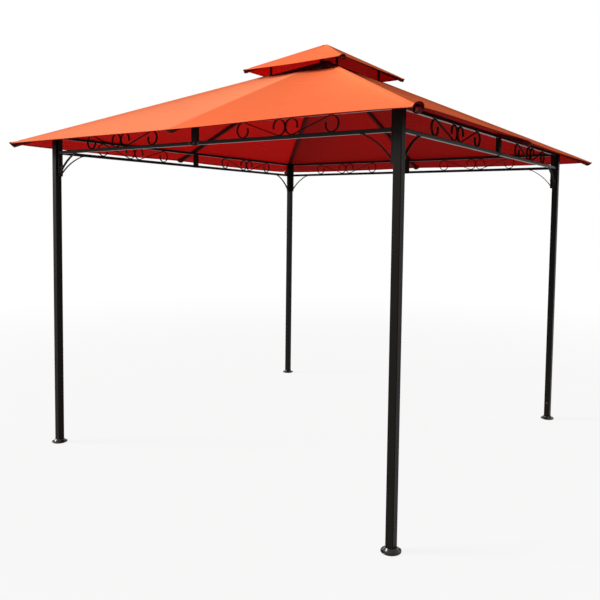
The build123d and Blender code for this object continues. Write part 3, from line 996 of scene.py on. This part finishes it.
class GAZEBO_OT_lower_canopy(Operator):
    """Lay the lower canopy over the rafters, with its hems, seams and corner pockets"""

    bl_idname = "gazebo.lower_canopy"
    bl_label = "Lower canopy"

    def execute(self, context):
        settings = context.scene.gazebo_canopy
        tier = lower_tier(settings)
        cloth, lining, hem_cloth, pocket, plug = cloth_set(settings, "lower", settings.pale)
        rows, stations, folds, seam_rows = 104, 96, 18, 80
        thickness = settings.cloth_thickness
        creases = fold_creases(settings, tier, folds, settings.seed)
        sheet = canopy_sheet("lower_canopy", tier, rows, stations, creases, (cloth, lining), thickness)
        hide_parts(*(f"lower_canopy_{side}" for side in SIDE_NAMES))
        trims = [
            hem("lower_canopy_hem", tier, tier.outer, settings.hem_width, stations, (hem_cloth, lining), 1),
            hem("vent_hem", tier, tier.inner, settings.hem_width, stations // 2, (hem_cloth, lining), -1),
            hip_seams("lower_hip_seams", tier, settings.seam_width, seam_rows, (hem_cloth,)),
            corner_pockets("lower_corner_pockets", tier, (pocket, cloth, lining, plug)),
            mid_pockets("mid_rafter_pockets", tier, (pocket,), thickness),
        ]
        return {"FINISHED"}


class GAZEBO_OT_top_canopy(Operator):
    """Lay the small canopy over the vent, with its hem, seams and corner pockets"""

    bl_idname = "gazebo.top_canopy"
    bl_label = "Top canopy"

    def execute(self, context):
        settings = context.scene.gazebo_canopy
        tier = top_tier(settings)
        cloth, lining, hem_cloth, pocket, plug = cloth_set(settings, "top")
        rows, stations, folds, narrower = 40, 64, 6, 0.8
        creases = fold_creases(settings, tier, folds, settings.seed + 1)
        thickness, hem_width = settings.cloth_thickness, settings.hem_width * narrower
        sheet = canopy_sheet("top_canopy", tier, rows, stations, creases, (cloth, lining), thickness)
        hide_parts(*(f"top_canopy_{side}" for side in SIDE_NAMES))
        trims = [
            hem("top_canopy_hem", tier, tier.outer, hem_width, stations, (hem_cloth, lining), 1),
            hip_seams("top_hip_seams", tier, settings.seam_width, rows, (hem_cloth,)),
            corner_pockets("top_corner_pockets", tier, (pocket, cloth, lining, plug)),
        ]
        return {"FINISHED"}


class GAZEBO_OT_foot_plates(Operator):
    """Turn the domed foot plates under the posts"""

    bl_idname = "gazebo.foot_plates"
    bl_label = "Foot plates"

    def execute(self, context):
        settings = context.scene.gazebo_steel
        # A rounded rim, a shallow groove and a hollow cone up to the post
        rim, edge, top = settings.plate_diameter / 2, 0.0035, POST_LOW.z
        face, groove = 0.0062, 0.0056
        foot, neck, mouth = rim - 0.008, 0.0295, 0.0289
        turn = np.linspace(-0.5, 0.5, 9) * np.pi
        climb = np.linspace(0, 1, 14)
        cone_heights = face + (top - face - 0.001) * (0.55 * climb + 0.45 * climb**2.2)
        radii = np.concatenate([
            rim - edge + edge * np.cos(turn), [rim - 0.0055, rim - 0.007],
            foot - (foot - neck) * climb, [mouth],
        ])
        heights = np.concatenate([edge + edge * np.sin(turn), [face, groove], cone_heights, [top]])
        plate = lathe(radii, heights, 72)
        corners = np.array([(1, -1, 0), (1, 1, 0), (-1, 1, 0), (-1, -1, 0)]) * POST_LINE
        shell = copies(plate, corners, [(0, 0, 1)] * SIDES)
        paint = paint_material("foot_paint", settings.colour, 0.24, 0.4)
        plates = make_piece("foot_plates", shell, (paint,), closed=True, sharp=math.radians(50))
        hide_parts(*(f"{corner}_foot_plate" for corner in CORNER_NAMES))
        return {"FINISHED"}


class GAZEBO_OT_bolts(Operator):
    """Set the bolts and washers of the frame"""

    bl_idname = "gazebo.bolts"
    bl_label = "Bolts"

    def execute(self, context):
        settings = context.scene.gazebo_steel
        flat = settings.bolt_width / 2
        radii = np.array([1.7, 1.7, 1.62, 1.0, 1.0, 1.0, 0.86, 0.4]) * flat
        heights = np.array([0.0, 0.18, 0.24, 0.24, 0.26, 0.85, 1.0, 1.04]) * flat
        bolt = lathe(radii, heights, 24, flats=(0, 0, 0, 0, 1, 1, 0, 0))
        below_rail, from_tube, above_ground = 0.095, 0.013, 0.125
        anchor_circle, anchor_height = 0.043, 0.0058
        upright = [
            ((hand * UPRIGHT_FACE, -POST_LINE, BOTTOM_RAIL - below_rail), (-hand, 0, 0)) for hand in (1, -1)
        ]
        rail_face = POST_LINE + RAIL_SIDE / 2
        middle = [((0, -CENTRE_FACE, BOTTOM_RAIL), (0, -1, 0))] + [
            ((hand * (TRUSS_START + from_tube), -rail_face, BOTTOM_RAIL), (0, -1, 0)) for hand in (1, -1)
        ]
        post = [((POST_LINE - POST_SIDE / 2, -POST_LINE, above_ground), (-1, 0, 0))]
        anchors = [
            ((POST_LINE + x, -POST_LINE + y, anchor_height), (0, 0, 1))
            for x, y in anchor_circle * on_circle(math.pi / 4 + round_angles(SIDES))
        ]
        fixed = upright + middle + post + anchors
        places = np.array([place for place, _ in fixed])
        axes = np.array([axis for _, axis in fixed], float)
        places = np.concatenate([turned(places, k) for k in range(SIDES)])
        axes = np.concatenate([turned(axes, k) for k in range(SIDES)])
        plating = plated_material("plated_bolt", settings.bolt_colour)
        shell = copies(bolt, places, axes)
        make_piece("frame_bolts", shell, (plating,), closed=True, sharp=math.radians(35))
        return {"FINISHED"}


class GAZEBO_OT_scroll_trusses(Operator):
    """Roll the scrollwork trusses between the posts"""

    bl_idname = "gazebo.scroll_trusses"
    bl_label = "Scrollwork trusses"

    def execute(self, context):
        settings = context.scene.gazebo_steel
        members = [rail(TOP_RAIL), rail(BOTTOM_RAIL), scroll_strip(1), scroll_strip(-1)]
        points, faces = joined(members)
        halves = [points, points * (-1, 1, 1)]
        shell = joined([(turned(half, k), faces) for k in range(SIDES) for half in halves])
        rolled = [np.full(sum(map(len, blocks)), k > 1) for k, (_, blocks) in enumerate(members)]
        paints = (
            paint_material("rail_paint", settings.colour, settings.roughness - 0.08, 0.12),
            # Painted red bounce light from the cloth, on the scrolls' coat
            paint_material("scroll_paint_red_bounce", settings.scroll_colour_red_bounce, settings.roughness + 0.25, 0.03),
        )
        trusses = make_piece(
            "scroll_trusses", shell, paints, finish=np.tile(np.concatenate(rolled), 2 * SIDES),
            closed=True, sharp=math.radians(40),
        )
        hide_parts(*(f"{side}_truss_{hand}" for side in SIDE_NAMES for hand in ("left", "right")))
        return {"FINISHED"}


class GAZEBO_OT_finishes(Operator):
    """Give the posts, trusses, rafters and caps their paint and plastic"""

    bl_idname = "gazebo.finishes"
    bl_label = "Frame finishes"

    def execute(self, context):
        settings = context.scene.gazebo_steel
        paint = settings.colour
        post = paint_material("post_paint", paint, settings.roughness)
        truss = paint_material("truss_paint", paint, settings.roughness + 0.02)
        rafter = paint_material("rafter_paint", settings.rafter_colour, settings.roughness + 0.25, 0.03)
        cap = plastic_material("cap_plastic", (0.004, 0.0035, 0.0033), 0.03)
        for name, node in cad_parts.items():
            if "canopy" in name or "foot_plate" in name or "_truss_" in name:
                continue
            finish = truss
            if name.endswith("_post"):
                finish = post
            elif name == "rafter_end_caps":
                finish = cap
            elif "rafter" in name or "hub" in name or "strut" in name:
                finish = rafter
            node.data.materials.clear()
            node.data.materials.append(finish)
        return {"FINISHED"}


class GAZEBO_OT_stage(Operator):
    """Set the floor, the lights, the background and the camera"""

    bl_idname = "gazebo.stage"
    bl_label = "Stage"

    def execute(self, context):
        settings = context.scene.gazebo_stage
        scene = context.scene
        scene.view_settings.view_transform = "Standard"
        self.floor(scene, settings)
        self.world(scene, settings)
        self.light(scene, settings)
        self.camera(scene, settings)
        return {"FINISHED"}

    def floor(self, scene, settings):
        """A wide level square, mixed with plain white where it is looked at: wholly so in the distance."""
        half, level = 60.0, -0.0004
        near, far, near_white = 3.0, 9.0, 0.87
        mesh = bpy.data.meshes.new("floor")
        corners = [(-half, -half, level), (half, -half, level), (half, half, level), (-half, half, level)]
        mesh.from_pydata(corners, [], [(0, 1, 2, 3)])
        tree = Tree(bpy.data.materials.new("floor_paint"))
        colour = opaque(settings.floor_colour)
        paint = tree.done(
            Base_Color=tree.mix(tree.noise(2.0, 3.0), opaque(colour[:3], 0.985), colour),
            Roughness=0.9, Specular_IOR_Level=0.0,
        )
        away = tree.add("ShaderNodeVectorMath", {"operation": "LENGTH"})
        tree.put(away.inputs[0], tree.place["Object"])
        whiter = tree.add(
            "ShaderNodeMapRange", {"interpolation_type": "SMOOTHSTEP"},
            Value=away.outputs["Value"], From_Min=near, From_Max=far, To_Min=near_white,
        )
        white = tree.add("ShaderNodeEmission", Color=(1.0, 1.0, 1.0, 1.0), Strength=1.0)
        pale = tree.nodes.new("ShaderNodeMixShader")
        share = tree.math("MULTIPLY", tree.looked_at(), whiter.outputs["Result"])
        mixed = (share, tree.shader.outputs["BSDF"], white.outputs["Emission"])
        for socket, value in zip(pale.inputs, mixed):
            tree.put(socket, value)
        tree.put(tree.nodes["Material Output"].inputs["Surface"], pale.outputs["Shader"])
        mesh.materials.append(paint)
        floor = bpy.data.objects.new("floor", mesh)
        scene.collection.objects.link(floor)

    def world(self, scene, settings):
        """Light from all round, white where the camera, a gloss or a clear body looks at it."""
        tree = Tree(bpy.data.worlds.new("studio"), "Background")
        strength = tree.spread(tree.looked_at(), settings.fill_strength, 1.0)
        scene.world = tree.done(Color=(1.0, 1.0, 1.0, 1.0), Strength=strength)

    def light(self, scene, settings):
        """A broad soft key from low on the front left."""
        lamp = bpy.data.lights.new("key", "SUN")
        lamp.energy = settings.key_strength
        lamp.angle = math.radians(18)
        key = bpy.data.objects.new("key", lamp)
        beam = Vector((0.75, 0.55, -0.37))
        key.rotation_euler = beam.to_track_quat("-Z", "Y").to_euler()
        scene.collection.objects.link(key)

    def camera(self, scene, settings):
        """A camera turned about the upright, the side and the line of sight: heading, pitch and roll."""
        heading, pitch, roll = settings.camera_turn
        turns = ((-heading, "Z"), (math.pi / 2 + pitch, "X"), (roll, "Z"))
        first, second, third = (Matrix.Rotation(angle, 4, axis) for angle, axis in turns)
        lens = bpy.data.cameras.new("camera")
        lens.sensor_width = 36.0
        lens.lens = lens.sensor_width * settings.focal_share
        lens.shift_x, lens.shift_y = settings.shift
        camera = bpy.data.objects.new("camera", lens)
        camera.matrix_world = Matrix.Translation(settings.camera_place) @ first @ second @ third
        scene.collection.objects.link(camera)
        scene.camera = camera


OPERATORS = (
    GAZEBO_OT_stage,
    GAZEBO_OT_lower_canopy,
    GAZEBO_OT_top_canopy,
    GAZEBO_OT_scroll_trusses,
    GAZEBO_OT_foot_plates,
    GAZEBO_OT_bolts,
    GAZEBO_OT_finishes,
)


class GAZEBO_PT_sidebar(Panel):
    """Lists the gazebo's pieces and settings"""

    bl_idname = "GAZEBO_PT_sidebar"
    bl_label = "Garden gazebo"
    bl_space_type = "VIEW_3D"
    bl_region_type = "UI"
    bl_category = "Gazebo"

    def draw(self, context):
        for operator in OPERATORS:
            self.layout.operator(operator.bl_idname)
        for name in SETTINGS:
            box = self.layout.box()
            group = getattr(context.scene, name)
            for key in group.__annotations__:
                box.prop(group, key)


SETTINGS = {
    "gazebo_canopy": CanopySettings,
    "gazebo_steel": SteelSettings,
    "gazebo_stage": StageSettings,
}
CLASSES = (*SETTINGS.values(), *OPERATORS, GAZEBO_PT_sidebar)


def register():
    for cls in CLASSES:
        bpy.utils.register_class(cls)
    for name, group in SETTINGS.items():
        setattr(bpy.types.Scene, name, PointerProperty(type=group))


def unregister():
    for name in SETTINGS:
        delattr(bpy.types.Scene, name)
    for cls in reversed(CLASSES):
        bpy.utils.unregister_class(cls)


def main():
    register()
    bpy.ops.gazebo.stage()
    bpy.ops.gazebo.lower_canopy()
    bpy.ops.gazebo.top_canopy()
    bpy.ops.gazebo.scroll_trusses()
    bpy.ops.gazebo.foot_plates()
    bpy.ops.gazebo.bolts()
    bpy.ops.gazebo.finishes()


if __name__ == "__main__":
    main()
